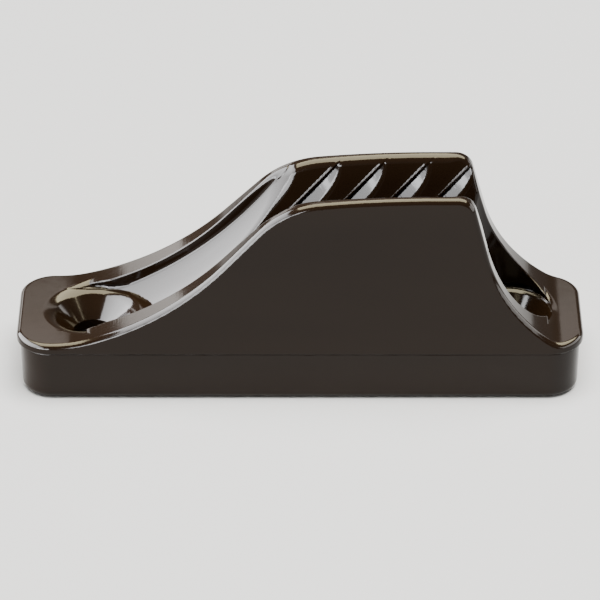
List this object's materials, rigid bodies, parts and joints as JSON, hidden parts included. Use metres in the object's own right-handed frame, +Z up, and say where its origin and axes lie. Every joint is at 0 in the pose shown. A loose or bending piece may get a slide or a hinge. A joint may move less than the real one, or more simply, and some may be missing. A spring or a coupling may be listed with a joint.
{
  "type": "open jam cleat",
  "caption": "Small open V-groove jam cleat with fluted walls, a long entry ramp and countersunk end plates, on a separate base pad.",
  "frame": {"origin": "centre of the pad's underside, on the mounting surface", "axes": "+X towards the steep tail end, -X towards the entry ramp and the load, +Z up from the mounting surface"},
  "size_m": [0.065, 0.0164, 0.025],
  "materials": {
    "body_nylon": "glossy moulded nylon, near black with a warm brown cast",
    "pad_nylon": "satin gloss moulded nylon, near black with a warm brown cast"
  },
  "bodies": {
    "root": {"cleat_body": "body_nylon", "base_pad": "pad_nylon"}
  },
  "joints": []
}
